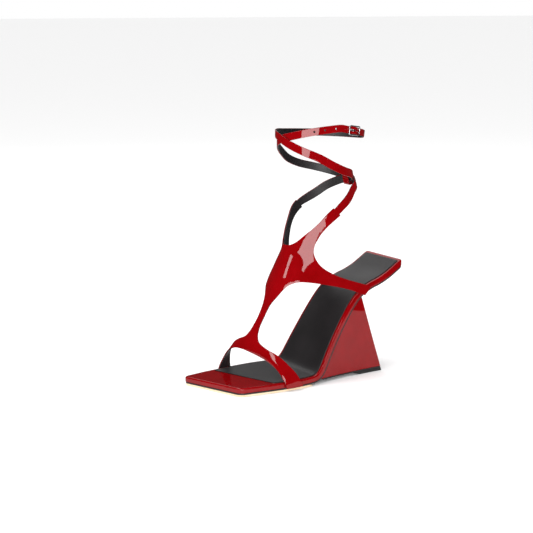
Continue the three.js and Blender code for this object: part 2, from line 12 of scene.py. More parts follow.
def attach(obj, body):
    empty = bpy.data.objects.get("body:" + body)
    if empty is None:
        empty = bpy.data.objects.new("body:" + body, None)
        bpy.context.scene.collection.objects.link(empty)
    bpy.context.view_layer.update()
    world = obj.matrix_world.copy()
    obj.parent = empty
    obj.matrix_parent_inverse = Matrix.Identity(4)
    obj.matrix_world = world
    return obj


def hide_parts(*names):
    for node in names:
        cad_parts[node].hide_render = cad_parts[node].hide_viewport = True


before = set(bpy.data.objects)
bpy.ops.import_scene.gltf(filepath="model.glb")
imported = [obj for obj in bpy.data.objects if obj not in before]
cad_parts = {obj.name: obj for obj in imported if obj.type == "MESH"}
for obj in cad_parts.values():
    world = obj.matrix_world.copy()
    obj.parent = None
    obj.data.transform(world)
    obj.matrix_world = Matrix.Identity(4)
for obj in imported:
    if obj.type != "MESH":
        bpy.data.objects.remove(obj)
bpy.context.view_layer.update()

# ---------- driving dimensions, millimetres ----------

MM = 0.001
MIDDLE_Y = 106.7              # from the toe to half way along the sandal
RAND_HEIGHT = 4.8
RUNNER_THICKNESS = 1.5
LAYER_GAP = 0.25              # between one layer of the sole and the next
TREAD = {"top": 1.65, "inset": 0.4, "end": 103.0, "slant": 4.0}
COVER_WALL = 1.3
COVER_UNDER = 4.0             # underside of the leather over the board and the foam
INSOCK = {"inset": 3.4, "low": 4.85, "high": 5.5, "roll": 0.6, "front": 46.3, "slope": 0.36}
# Hollows pressed by the foot: the middle's y, the reach across, the reach along, and the depth.
HEEL_HOLLOW = (186, 17, 17, 0.45)
BALL_HOLLOW = (82, 22, 20, 0.3)
PLAN_LENGTH = 212.0
CORNER = {"toe": 6.0, "heel": 4.0, "least": 1.2}
WEDGE = {"inset": 1.5, "skin": 1.2, "base": 4.5, "top": 76.4, "rear": 187.4, "lean": 0.338,
         "levels": 46}
PAD = {"low": 3.05, "high": 4.25, "front": 114.5}
LIFT = {"top": 2.8, "front": 161.5, "front_top": 153.5, "rear": 188.8, "rear_top": 188.0}
LINING = (0.2, 0.85)          # leather lining, measured out from the foot
OUTER = (1.0, 1.7)            # patent leather over it
# A strap tapers from start, through middle at 0.35 of its length, to tip. Where it leaves the arm
# it is no wider than tucked, and a twelfth of a millimetre more for each millimetre along it.
STRAP_WIDTH = {"tucked": 7.2, "start": 9.0, "middle": 7.6, "tip": 6.2}
BUCKLE = {"phi": 109.0, "height": 237.6, "tilt": -9.0, "half_length": 7.75, "half_height": 4.6,
          "low": 3.1, "high": 4.3, "pin_out": 1.9, "pin_radius": 0.6, "slack": 0.25, "loop": 0.7,
          "corner": 1.5}
PRONG = {"width": 1.3, "half_thickness": 0.36, "edge": 0.22}
KEEPER = {"height": 189.6, "half_width": 4.2, "half_height": 6.75, "low": -1.65, "high": 4.75,
          "wall": 1.1, "corner": 1.5}
SMOOTH_ANGLE = 38             # degrees; sharper edges stay sharp in the shading


# ---------- curves ----------

def through(points, per_span=24):
    """A smooth curve through points, as an even Catmull-Rom spline."""
    p = np.array(points, float)
    w = (np.arange(per_span) / per_span)[:, None]
    runs = []
    for i in range(len(p) - 1):
        a, b, c, d = p[max(i - 1, 0)], p[i], p[i + 1], p[min(i + 2, len(p) - 1)]
        v0, v1 = (c - a) / 2, (d - b) / 2
        runs.append((2 * b - 2 * c + v0 + v1) * w**3 + (3 * c - 3 * b - 2 * v0 - v1) * w**2
                    + v0 * w + b)
    return np.vstack([*runs, p[-1:]])


def lengths(path):
    return np.concatenate([[0], np.cumsum(np.linalg.norm(np.diff(path, axis=0), axis=1))])


def at_lengths(path, s, where):
    return np.column_stack([np.interp(where, s, path[:, k]) for k in range(path.shape[1])])


def spaced(path, count):
    s = lengths(path)
    return at_lengths(path, s, np.linspace(0, s[-1], count))


def unit(v):
    return v / np.linalg.norm(v, axis=-1, keepdims=True)


def softened(loop, radius, count, steps=6000):
    """A closed outline with its corners rounded, as evenly spaced points. Each point is the mean
    of the outline for radius to either side; radius may be a function of the place."""
    closed = np.vstack([loop, loop[:1]])
    s = lengths(closed)
    pace = s[-1] / steps
    dense = at_lengths(closed, s, (np.arange(steps) + 0.5) * pace)
    running = np.vstack([np.zeros((1, 2)), np.cumsum(np.vstack([dense] * 3) * pace, axis=0)])
    place = np.arange(3 * steps + 1) * pace - s[-1]
    where = np.arange(count) / count * s[-1]
    reach = radius(at_lengths(closed, s, where)) if callable(radius) else np.full(count, radius)
    ahead = at_lengths(running, place, where + reach)
    behind = at_lengths(running, place, where - reach)
    return (ahead - behind) / (2 * reach[:, None])


def kept_side(loop, side):
    """The part of a closed outline where side(points) is positive, cut along the line side = 0."""
    kept = []
    value = side(loop)
    for i in range(len(loop)):
        j = (i + 1) % len(loop)
        if value[i] >= 0:
            kept.append(loop[i])
        if value[i] * value[j] < 0:
            kept.append(loop[i] + (loop[j] - loop[i]) * value[i] / (value[i] - value[j]))
    return np.array(kept)


# ---------- sole plan and side line ----------

OUTER_EDGE = [(33.4, 23.6), (34.7, 35), (37.4, 54), (39.3, 74), (38.8, 90), (36.9, 108),
              (33.6, 130), (31, 155), (29.8, 180), (29.4, 212)]
INNER_EDGE = [(-29.4, 212), (-29.6, 180), (-30.2, 155), (-32.2, 130), (-36, 110),
              (-40.2, 88), (-40.6, 68), (-38.8, 46), (-36.2, 22), (-32.2, -0.6)]
FEATHER = [(-14, 3.4), (30, 3.4), (70, 3.4), (96, 3.5), (106, 4.4), (111.8, 7.6), (116.2, 13),
           (121.5, 22.5), (128.5, 34.7), (137, 48.5), (146, 61.5), (154, 71.7), (162, 79),
           (173, 84.8), (184, 88.4), (195, 93.2), (207, 100.4), (222, 110)]
EDGE_STEPS = 33


def plan(inset, side=None, count=440):
    """The sole's outline from above, moved inwards by inset, with round corners."""
    points = np.vstack([spaced(through(edge), EDGE_STEPS) for edge in (OUTER_EDGE, INNER_EDGE)])
    before = unit(points - np.roll(points, 1, axis=0))
    after = unit(np.roll(points, -1, axis=0) - points)
    normal = unit(np.column_stack([-(before + after)[:, 1], (before + after)[:, 0]]))
    cos_half = np.maximum(0.6, (normal * np.column_stack([-before[:, 1], before[:, 0]])).sum(1))
    moved = points + normal * (inset / cos_half)[:, None]

    def corner(place):
        share = np.clip(place[:, 1] / PLAN_LENGTH, 0, 1)
        radius = CORNER["toe"] + (CORNER["heel"] - CORNER["toe"]) * share
        return np.maximum(CORNER["least"], radius - inset)
    if side is not None:
        moved = kept_side(moved, side)
    return softened(moved, corner, count)


def side_line(offset):
    """The feather line moved square to itself, as (y, z) points."""
    line = spaced(through(FEATHER, 40), 900)
    tangent = unit(np.gradient(line, axis=0))
    return line + offset * np.column_stack([-tangent[:, 1], tangent[:, 0]])


def height(offset):
    """z of the layer that lies offset above the feather line, as a function of y."""
    line = side_line(offset)
    return lambda y: np.interp(y, line[:, 0], line[:, 1])


def layer_surface(offset):
    """The same layer as a function of x and y."""
    layer = height(offset)
    return lambda x, y: layer(y)


# ---------- foot and leg form ----------

# One row a girth: the height t of its highest point on the instep, that point's y, the half
# width, y and z where it is widest, the slant across the foot, and how flat the front is.
GIRTHS = np.array([
    (31, 55, 39.8, 56, 3, 0.323, 1),
    (40, 57, 41, 71.5, 3.5, 0.344, 1),
    (55, 61.5, 39, 95, 20, 0.25, 1),
    (63, 65.3, 37, 112, 34, 0.18, 1),
    (75, 71, 35, 133, 54, 0.09, 1.1),
    (86, 76, 32, 150, 67, 0.03, 1.2),
    (97, 80, 30.6, 165, 78, 0, 1.25),
    (112, 87, 30.2, 172, 88, 0, 1.15),
    (130, 94.5, 30.5, 152, 118, 0, 0.9),
    (150, 96.5, 31, 137, 150, 0, 0.85),
    (173, 92.5, 30.7, 131, 173, 0, 1),
    (200, 90.5, 29.2, 126.8, 200, 0, 1),
    (235, 90.5, 31, 133.8, 235, 0, 1),
    (260, 90.5, 31, 133.8, 260, 0, 1),
])


def smooth_column(column):
    """A girth value between the rows, with Fritsch-Carlson slopes, so that nothing bulges."""
    t, v = GIRTHS[:, 0], GIRTHS[:, column]
    h, secant = np.diff(t), np.diff(v) / np.diff(t)
    slope = np.zeros(len(t))
    for i in range(1, len(t) - 1):
        if secant[i - 1] * secant[i] > 0:
            slope[i] = 3 * (h[i - 1] + h[i]) / ((2 * h[i] + h[i - 1]) / secant[i - 1]
                                                + (h[i] + 2 * h[i - 1]) / secant[i])

    def value(at):
        at = np.clip(at, t[0], t[-1])
        k = np.clip(np.searchsorted(t, at, side="right") - 1, 0, len(t) - 2)
        s = (at - t[k]) / h[k]
        return (v[k] * (1 + 2 * s) * (1 - s)**2 + slope[k] * h[k] * s * (1 - s)**2
                + v[k + 1] * s * s * (3 - 2 * s) + slope[k + 1] * h[k] * s * s * (s - 1))
    return value


TOP_Y, HALF_WIDTH, SIDE_Y, SIDE_Z, SLANT, FLATNESS = [smooth_column(c) for c in range(1, 7)]


def on_form(phi, t):
    """phi: degrees round the leg from the front, + to the outer side. t: the girth's height."""
    angle = np.radians(phi)
    fall = (1 - np.cos(angle)) ** FLATNESS(t)
    x = HALF_WIDTH(t) * np.sin(angle)
    y = TOP_Y(t) + (SIDE_Y(t) - TOP_Y(t)) * fall + SLANT(t) * x
    return np.stack([x, y, t + (SIDE_Z(t) - t) * fall], axis=-1)


def form_normal(phi, t):
    around = on_form(phi + 0.5, t) - on_form(phi - 0.5, t)
    up = on_form(phi, t + 0.3) - on_form(phi, t - 0.3)
    return unit(np.cross(around, up))


def off_form(phi, t, distance):
    return on_form(phi, t) + form_normal(phi, t) * np.asarray(distance)[..., None]


def leg_frame(phi, t):
    """A place on the leg and its directions: e round the leg, h up, n outwards."""
    n = form_normal(phi, t)
    e = unit(on_form(phi + 0.5, t) - on_form(phi - 0.5, t))
    return on_form(phi, t), e, unit(np.cross(n, e)), n


# ---------- meshes ----------

def alone(obj):
    bpy.ops.object.select_all(action="DESELECT")
    obj.select_set(True)
    bpy.context.view_layer.objects.active = obj


def piece(name, vertices, faces):
    """A new object from vertices in millimetres, with y from the toe."""
    mesh = bpy.data.meshes.new(name)
    place = (np.asarray(vertices, float) - (0, MIDDLE_Y, 0)) * MM
    mesh.from_pydata(place.tolist(), [], [tuple(map(int, face)) for face in faces])
    mesh.validate()
    obj = bpy.data.objects.new(name, mesh)
    bpy.context.scene.collection.objects.link(obj)
    alone(obj)
    bpy.ops.object.mode_set(mode="EDIT")
    bpy.ops.mesh.select_all(action="SELECT")
    bpy.ops.mesh.remove_doubles(threshold=0.002 * MM)
    bpy.ops.mesh.normals_make_consistent(inside=False)
    bpy.ops.object.mode_set(mode="OBJECT")
    return obj


def modify(obj, kind, **settings):
    alone(obj)
    modifier = obj.modifiers.new(kind.lower(), kind)
    for key, value in settings.items():
        setattr(modifier, key, value)
    bpy.ops.object.modifier_apply(modifier=modifier.name)


def bevelled(obj, width, segments, angle):
    modify(obj, "BEVEL", width=width * MM, segments=segments, limit_method="ANGLE",
           angle_limit=math.radians(angle), use_clamp_overlap=True, miter_outer="MITER_ARC")


def cut(obj, *tools, operation="DIFFERENCE"):
    for tool in tools:
        modify(obj, "BOOLEAN", operation=operation, object=tool, solver="EXACT")
        bpy.data.objects.remove(tool)


def finish(obj, material, body, node):
    """Gives a finished piece its look, and its place in the model instead of the plain node."""
    obj.data.materials.clear()
    obj.data.materials.append(material)
    alone(obj)
    bpy.ops.object.shade_smooth_by_angle(angle=math.radians(SMOOTH_ANGLE))
    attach(obj, body)
    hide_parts(node)


def inside(points, loop):
    a, b = loop, np.roll(loop, -1, axis=0)
    x, y = points[:, 0, None], points[:, 1, None]
    spans = (a[:, 1] > y) != (b[:, 1] > y)
    rise = np.where(b[:, 1] == a[:, 1], 1, b[:, 1] - a[:, 1])
    crossing = a[:, 0] + (y - a[:, 1]) / rise * (b[:, 0] - a[:, 0])
    return (spans & (x < crossing)).sum(1) % 2 == 1


def net(loop, pitch):
    """Fills a flat outline with near-even triangles. The outline's own points come first."""
    low, high = loop.min(0), loop.max(0)
    rows = np.arange(low[1] + 0.41 * pitch, high[1], pitch * 0.866)
    columns = np.arange(low[0] - pitch, high[0], pitch)
    grid = np.array([(x + (i % 2) * pitch / 2, y) for i, y in enumerate(rows) for x in columns])
    grid = grid[inside(grid, loop)]
    gap = np.min(np.linalg.norm(grid[:, None] - loop[None], axis=2), axis=1)
    grid = grid[gap > 0.55 * pitch]
    points = np.vstack([loop, grid])
    made = delaunay_2d_cdt([Vector(p) for p in points], [], [list(range(len(loop)))], 1, 1e-7)
    source = [origin[0] if origin else 0 for origin in made[3]]
    triangles = np.array([[source[k] for k in face] for face in made[2]])
    a, b, c = (points[triangles[:, k]] for k in range(3))
    turn = (b - a)[:, 0] * (c - a)[:, 1] - (b - a)[:, 1] * (c - a)[:, 0]
    triangles[turn < 0] = triangles[turn < 0][:, ::-1]
    return points, triangles


def stacked(name, rings, pitch=3.2, top=None, bottom=None):
    """A closed solid from rings of (x, y, z) points, lowest first. The first and last rings are
    filled with a net; top(x, y) and bottom(x, y) give the height of the net's own points."""
    count = len(rings[0])
    vertices = [*rings]
    faces = []
    for level in range(len(rings) - 1):
        for i in range(count):
            j = (i + 1) % count
            low, high = level * count, (level + 1) * count
            faces.append((low + i, low + j, high + j, high + i))
    start = len(rings) * count
    for ring, base, surface, turned in ((rings[-1], (len(rings) - 1) * count, top, False),
                                        (rings[0], 0, bottom, True)):
        points, triangles = net(ring[:, :2], pitch)
        extra = points[count:]
        level = surface(extra[:, 0], extra[:, 1]) if surface else np.full(len(extra), ring[0, 2])
        vertices.append(np.column_stack([extra, level]))
        for triangle in triangles:
            face = [base + k if k < count else start + k - count for k in triangle]
            faces.append(face[::-1] if turned else face)
        start += len(extra)
    return piece(name, np.vstack(vertices), faces)


def sheet_ring(inset, offset, side=None, count=440):
    """The sole's outline at one inset, lying at one height above the feather line."""
    loop = plan(inset, side, count)
    return np.column_stack([loop, height(offset)(loop[:, 1])])


def rolled(inset, offset, radius, steps):
    """(inset, offset) of a quarter round that turns from the side into the top."""
    turn = np.linspace(0, math.pi / 2, steps)
    return [(inset + radius * (1 - math.cos(a)), offset - radius * (1 - math.sin(a))) for a in turn]


def swept(rings, closed=False):
    """Vertices and faces of a tube through rings of equal count, its ends closed by flat faces."""
    count, size = len(rings), len(rings[0])
    faces = []
    for i in range(count if closed else count - 1):
        j = (i + 1) % count
        for k in range(size):
            m = (k + 1) % size
            faces.append((i * size + k, i * size + m, j * size + m, j * size + k))
    if not closed:
        faces.append(tuple(range(size))[::-1])
        faces.append(tuple((count - 1) * size + k for k in range(size)))
    return np.vstack(rings), faces


def round_section(width, low, high, radius, dome=0.0):
    """A flat strip's section, (across, out), with round edges and a slightly domed face."""
    half = width / 2
    points = []
    centres = ((half - radius, high - radius), (radius - half, high - radius),
               (radius - half, low + radius), (half - radius, low + radius))
    for corner, (cx, cy) in enumerate(centres):
        for step in range(4):
            angle = math.radians(90 * corner + 30 * step)
            points.append((cx + radius * math.cos(angle), cy + radius * math.sin(angle)))
        if corner in (0, 2):
            level = high if corner == 0 else low
            lift = dome if corner == 0 else 0
            spread = [0.86, 0.5, 0, -0.5, -0.86] if corner == 0 else [-0.86, 0, 0.86]
            points += [(k * (half - radius), level + lift * (1 - k * k)) for k in spread]
    return np.array(points)


# ---------- materials ----------

def linear(code):
    """An sRGB hex colour as linear red, green, blue and alpha."""
    parts = [int(code[i:i + 2], 16) / 255 for i in (1, 3, 5)]
    return (*[c / 12.92 if c <= 0.04045 else ((c + 0.055) / 1.055) ** 2.4 for c in parts], 1.0)


def add_node(tree, kind, settings=None, links=None):
    """Adds one node. settings go to its inputs by name, or else to the node; stops are a colour
    ramp's places and colours; links go to its inputs."""
    made = tree.nodes.new(kind)
    for key, value in (settings or {}).items():
        if key == "stops":
            for element, (position, colour) in zip(made.color_ramp.elements, value):
                element.position = position
                element.color = linear(colour)
        elif key in made.inputs:
            made.inputs[key].default_value = value
        else:
            setattr(made, key, value)
    for key, source in (links or {}).items():
        tree.links.new(source, made.inputs[key])
    return made


def new_material(name):
    material = bpy.data.materials.new(name)
    material.use_nodes = True
    tree = material.node_tree
    tree.nodes.clear()
    coordinates = add_node(tree, "ShaderNodeTexCoord")
    return material, tree, coordinates.outputs["Object"]


def per_metre(size_mm):
    """The scale of a pattern whose features are size_mm across."""
    return 1 / (size_mm * MM)


def two_tones(low, high):
    """Stops of a colour ramp from one tone to a near one, over the middle of a noise's range."""
    return {"stops": [(0.3, low), (0.7, high)]}


def shader_out(tree, settings, links):
    shader = add_node(tree, "ShaderNodeBsdfPrincipled", settings, links)
    add_node(tree, "ShaderNodeOutputMaterial", links={"Surface": shader.outputs["BSDF"]})


def patent_leather():
    """Calf leather under a thick clear lacquer: a mirror gloss over deep red, with the faint
    waviness of the skin below and very light wiping marks in the gloss."""
    material, tree, place = new_material("patent_leather_red")
    mottle, wave, skin, wipe = (
        add_node(tree, "ShaderNodeTexNoise", {"Scale": per_metre(size), "Detail": detail},
                 {"Vector": place})
        for size, detail in ((14, 3.0), (7, 2.0), (1.2, 2.0), (9, 5.0)))
    colour = add_node(tree, "ShaderNodeValToRGB", two_tones("#6D0002", "#760105"),
                      {"Fac": mottle.outputs["Fac"]})
    wavy = add_node(tree, "ShaderNodeBump", {"Strength": 0.07, "Distance": 0.1 * MM},
                    {"Height": wave.outputs["Fac"]})
    relief = add_node(tree, "ShaderNodeBump", {"Strength": 0.04, "Distance": 0.02 * MM},
                      {"Height": skin.outputs["Fac"], "Normal": wavy.outputs["Normal"]})
    rough = add_node(tree, "ShaderNodeMapRange", {"To Min": 0.1, "To Max": 0.2},
                     {"Value": wipe.outputs["Fac"]})
    shader_out(tree, {"IOR": 1.5, "Specular IOR Level": 0.0, "Coat Weight": 0.8,
                      "Coat Roughness": 0.02, "Coat IOR": 1.43},
               {"Base Color": colour.outputs["Color"], "Roughness": rough.outputs["Result"],
                "Normal": relief.outputs["Normal"], "Coat Normal": relief.outputs["Normal"]})
    return material


def nappa_leather():
    """Drum-dyed black nappa: soft low gloss, small pebbled grain drawn 0.9 mm across so that it
    shows, with pores and a slightly browner, shinier wear where the foot rubs."""
    material, tree, place = new_material("nappa_leather_black")
    grain = add_node(tree, "ShaderNodeTexVoronoi", {"Scale": per_metre(0.9), "feature": "F1"},
                     {"Vector": place})
    pores = add_node(tree, "ShaderNodeTexNoise", {"Scale": per_metre(0.35), "Detail": 2.0},
                     {"Vector": place})
    wear = add_node(tree, "ShaderNodeTexNoise", {"Scale": per_metre(30), "Detail": 3.0},
                    {"Vector": place})
    colour = add_node(tree, "ShaderNodeValToRGB", two_tones("#100C0E", "#1A1517"),
                      {"Fac": wear.outputs["Fac"]})
    pebbled = add_node(tree, "ShaderNodeBump", {"Strength": 0.35, "Distance": 0.06 * MM},
                       {"Height": grain.outputs["Distance"]})
    relief = add_node(tree, "ShaderNodeBump", {"Strength": 0.2, "Distance": 0.02 * MM},
                      {"Height": pores.outputs["Fac"], "Normal": pebbled.outputs["Normal"]})
    rough = add_node(tree, "ShaderNodeMapRange", {"To Min": 0.4, "To Max": 0.52},
                     {"Value": wear.outputs["Fac"]})
    shader_out(tree, {"IOR": 1.5, "Sheen Weight": 0.04, "Sheen Roughness": 0.4},
               {"Base Color": colour.outputs["Color"], "Roughness": rough.outputs["Result"],
                "Normal": relief.outputs["Normal"]})
    return material


def sole_leather():
    """Oak-tanned sole leather, waxed on the cut edge: pale tan fibres in thin layers."""
    material, tree, place = new_material("sole_leather_natural")
    layers = add_node(tree, "ShaderNodeTexWave",
                      {"Scale": per_metre(3.2), "bands_direction": "Z", "Distortion": 3.0,
                       "Detail": 3.0}, {"Vector": place})
    fibre = add_node(tree, "ShaderNodeTexNoise", {"Scale": per_metre(0.7), "Detail": 4.0},
                     {"Vector": place})
    blotch = add_node(tree, "ShaderNodeTexNoise", {"Scale": per_metre(11), "Detail": 4.0},
                      {"Vector": place})
    tone = add_node(tree, "ShaderNodeMix", {"Factor": 0.35},
                    {"A": blotch.outputs["Fac"], "B": layers.outputs["Fac"]})
    colour = add_node(tree, "ShaderNodeValToRGB", two_tones("#CBB08C", "#E2CFB2"),
                      {"Fac": tone.outputs["Result"]})
    relief = add_node(tree, "ShaderNodeBump", {"Strength": 0.35, "Distance": 0.05 * MM},
                      {"Height": fibre.outputs["Fac"]})
    rough = add_node(tree, "ShaderNodeMapRange", {"To Min": 0.55, "To Max": 0.75},
                     {"Value": blotch.outputs["Fac"]})
    shader_out(tree, {"IOR": 1.45},
               {"Base Color": colour.outputs["Color"], "Roughness": rough.outputs["Result"],
                "Normal": relief.outputs["Normal"]})
    return material


def coated(name, low, high, rough, feature_mm, depth_mm, strength=0.3):
    """A painted, pressed or moulded surface: two near tones and an even fine texture."""
    material, tree, place = new_material(name)
    texture = add_node(tree, "ShaderNodeTexNoise", {"Scale": per_metre(feature_mm), "Detail": 4.0},
                       {"Vector": place})
    blotch = add_node(tree, "ShaderNodeTexNoise",
                      {"Scale": per_metre(feature_mm * 9), "Detail": 3.0}, {"Vector": place})
    colour = add_node(tree, "ShaderNodeValToRGB", two_tones(low, high),
                      {"Fac": blotch.outputs["Fac"]})
    relief = add_node(tree, "ShaderNodeBump", {"Strength": strength, "Distance": depth_mm * MM},
                      {"Height": texture.outputs["Fac"]})
    gloss = add_node(tree, "ShaderNodeMapRange", {"To Min": rough[0], "To Max": rough[1]},
                     {"Value": blotch.outputs["Fac"]})
    shader_out(tree, {"IOR": 1.5},
               {"Base Color": colour.outputs["Color"], "Roughness": gloss.outputs["Result"],
                "Normal": relief.outputs["Normal"]})
    return material


def edge_paint():
    """Black edge paint, brushed on in coats and burnished: satin, with faint ripples."""
    return coated("edge_paint_black", "#0E0C0D", "#191617", (0.25, 0.38), 1.4, 0.05)


def moulded_rubber():
    """Moulded nitrile rubber: matt black with the fine tooth of the mould."""
    return coated("rubber_moulded_black", "#101010", "#1B1A1A", (0.7, 0.85), 0.5, 0.05, 0.6)


def core_plastic():
    """Injection-moulded ABS of a heel block: dark grey, lightly textured by the mould."""
    return coated("abs_moulded_dark", "#242322", "#302E2D", (0.5, 0.65), 0.6, 0.03)


def fibre_board():
    """Pressed cellulose shoe board: buff, with short fibres in it."""
    return coated("cellulose_board", "#8C6D49", "#A58660", (0.85, 0.95), 0.4, 0.06, 0.6)


def latex_foam():
    """Open-cell latex foam: cream, with fine cells."""
    return coated("latex_foam_cream", "#D2CCB8", "#E2DDCB", (0.9, 1.0), 0.8, 0.15, 0.8)


def brushed_metal(name, low, high, rough, grain_mm):
    """Worked metal: fine lines of the finishing wheel in its colour and gloss."""
    material, tree, place = new_material(name)
    stretch = add_node(tree, "ShaderNodeMapping", {"Scale": (1.0, 1.0, 0.12)}, {"Vector": place})
    lines = add_node(tree, "ShaderNodeTexNoise", {"Scale": per_metre(grain_mm), "Detail": 3.0},
                     {"Vector": stretch.outputs["Vector"]})
    colour = add_node(tree, "ShaderNodeValToRGB", two_tones(low, high),
                      {"Fac": lines.outputs["Fac"]})
    relief = add_node(tree, "ShaderNodeBump", {"Strength": 0.1, "Distance": 0.01 * MM},
                      {"Height": lines.outputs["Fac"]})
    gloss = add_node(tree, "ShaderNodeMapRange", {"To Min": rough[0], "To Max": rough[1]},
                     {"Value": lines.outputs["Fac"]})
    shader_out(tree, {"Metallic": 1.0},
               {"Base Color": colour.outputs["Color"], "Roughness": gloss.outputs["Result"],
                "Normal": relief.outputs["Normal"]})
    return material


PATENT = patent_leather()
NAPPA = nappa_leather()
SOLE = sole_leather()
EDGE = edge_paint()
RUBBER = moulded_rubber()
CORE = core_plastic()
BOARD = fibre_board()
FOAM = latex_foam()
NICKEL = brushed_metal("nickel_plated_polished", "#C4C4C8", "#D8D8DC", (0.24, 0.36), 0.5)
STEEL = brushed_metal("spring_steel_bright", "#9FA2A6", "#B8BBBF", (0.28, 0.42), 0.7)


# ---------- sole pieces ----------

def behind_insock_front(points):
    return points[:, 1] - (INSOCK["front"] + INSOCK["slope"] * points[:, 0])


def platform_cover():
    """Red leather rolled over the platform's edge: thin walls below, a round top border."""
    shell = [(COVER_WALL, COVER_UNDER), (COVER_WALL, 2.2), (COVER_WALL, 0.15), (COVER_WALL - 0.15, 0),
             (0.3, 0), (0.08, 0.1), (0, 0.35), (0, 1.8), *rolled(0, RAND_HEIGHT, 1.5, 7),
             (2.2, RAND_HEIGHT)]
    rings = [sheet_ring(inset, offset) for inset, offset in shell]
    obj = stacked("platform_cover_leather", rings, top=layer_surface(RAND_HEIGHT),
                  bottom=layer_surface(COVER_UNDER))
    finish(obj, PATENT, "sandal", "platform_cover")


def insock_lining():
    """Black insock: a thin leather sheet with a rolled edge, hollowed under the heel and ball."""
    edge, low, high = INSOCK["inset"], INSOCK["low"], INSOCK["high"]
    shell = [(edge, low), *rolled(edge, high, INSOCK["roll"], 5), (edge + 1.6, high)]
    rings = [sheet_ring(inset, offset, behind_insock_front) for inset, offset in shell]
    flat = height(high)

    def hollowed(x, y):
        z = flat(y)
        for middle, across, along, depth in (HEEL_HOLLOW, BALL_HOLLOW):
            z = z - depth * np.exp(-((x / across) ** 2 + ((y - middle) / along) ** 2))
        return z
    obj = stacked("insock_nappa", rings, top=hollowed, bottom=layer_surface(low))
    finish(obj, NAPPA, "sandal", "insock")


def runner_sole():
    """Thin black layer under the whole platform, with its edge painted."""
    low, high = -RUNNER_THICKNESS, -LAYER_GAP
    shell = [(0.55, low), (0.36, low + 0.08), (0.3, low + 0.25),
             (0.3, high - 0.2), (0.36, high - 0.05), (0.55, high)]
    rings = [sheet_ring(inset, offset) for inset, offset in shell]
    obj = stacked("runner_edge_painted", rings, top=layer_surface(high), bottom=layer_surface(low))
    finish(obj, EDGE, "sandal", "outsole_runner")


def tread_sole():
    """Natural leather tread under the forepart, skived to a slant at its rear end."""
    levels = [(0.35, 0.0), (0.1, 0.1), (0, 0.3), (0, TREAD["top"] - 0.3), (0.1, TREAD["top"] - 0.08),
              (0.3, TREAD["top"])]
    rings = []
    for inset, z in levels:
        end = TREAD["end"] - TREAD["slant"] * z / TREAD["top"] - inset
        loop = plan(TREAD["inset"] + inset, lambda p, end=end: end - p[:, 1])
        rings.append(np.column_stack([loop, np.full(len(loop), z)]))
    obj = stacked("tread_leather", rings)
    finish(obj, SOLE, "sandal", "outsole_tread")


def heel_slice(z, inset, front, rear, per_side=40, per_back=14):
    """One level of the heel, anticlockwise from above: up the outer side from front to rear,
    across the rear, and back along the inner side."""
    loop = plan(inset, count=880)
    outer = loop[loop[:, 0] > 0]
    inner = loop[loop[:, 0] < 0]
    outer, inner = outer[np.argsort(outer[:, 1])], inner[np.argsort(inner[:, 1])]
    y = np.linspace(front, rear, per_side)
    right = np.column_stack([np.interp(y, outer[:, 1], outer[:, 0]), y])
    left = np.column_stack([np.interp(y, inner[:, 1], inner[:, 0]), y])[::-1]
    across = np.linspace(0, 1, per_back)[1:-1, None]
    back = right[-1] + (left[0] - right[-1]) * across
    run = np.vstack([right, back, left])
    return np.column_stack([run, np.full(len(run), z)])


def inner_side(obj):
    """Solidify's offset that puts the wall on the side of the mesh nearer its own middle."""
    middle = np.mean([v.co[:] for v in obj.data.vertices], axis=0)
    outward = [np.dot(p.normal, np.array(p.center) - middle) > 0 for p in obj.data.polygons]
    return -1.0 if sum(outward) > len(outward) / 2 else 1.0


def wedge_cover():
    """The wedge's leather skin, in one piece round both sides and the leaning rear face."""
    under = side_line(-RUNNER_THICKNESS - LAYER_GAP)
    over_wedge = (under[:, 0] > 100) & (under[:, 0] < 176)
    under = under[over_wedge]
    rings = []
    for z in np.linspace(WEDGE["base"], WEDGE["top"], WEDGE["levels"]):
        front = np.interp(z, under[:, 1], under[:, 0]) + 0.05
        rear = WEDGE["rear"] - WEDGE["lean"] * (z - WEDGE["base"])
        rings.append(heel_slice(z, WEDGE["inset"], min(front, rear - 0.3), rear))
    count = len(rings[0])
    faces = [(i * count + k, i * count + k + 1, (i + 1) * count + k + 1, (i + 1) * count + k)
             for i in range(len(rings) - 1) for k in range(count - 1)]
    obj = piece("wedge_cover_leather", np.vstack(rings), faces)
    modify(obj, "SOLIDIFY", thickness=WEDGE["skin"] * MM, offset=inner_side(obj),
           use_even_offset=True)
    bevelled(obj, 0.45, 3, 50)
    finish(obj, PATENT, "sandal", "wedge_cover")


def heel_block(name, low, high, fronts, rears, width):
    """A flat layer of the heel between two heights; fronts and rears are at low and high."""
    rings = [heel_slice(z, WEDGE["inset"], front, rear)
             for z, front, rear in zip((low, high), fronts, rears)]
    count = len(rings[0])
    faces = [(k, (k + 1) % count, (k + 1) % count + count, k + count) for k in range(count)]
    faces.append(tuple(range(count))[::-1])
    faces.append(tuple(range(count, 2 * count)))
    obj = piece(name, np.vstack(rings), faces)
    bevelled(obj, width, 3, 30)
    return obj


def heel_base_pad():
    """Black leather layer that closes the wedge below."""
    obj = heel_block("heel_base_pad_painted", PAD["low"], PAD["high"], (PAD["front"],) * 2,
                     (WEDGE["rear"] + 0.3, WEDGE["rear"]), 0.25)
    finish(obj, EDGE, "sandal", "heel_base_pad")


def heel_lift():
    """Rubber top piece under the rear of the wedge, undercut at its front."""
    obj = heel_block("heel_lift_rubber", 0, LIFT["top"], (LIFT["front"], LIFT["front_top"]),
                     (LIFT["rear"], LIFT["rear_top"]), 0.35)
    finish(obj, RUBBER, "sandal", "heel_lift")


# ---------- vamp ----------

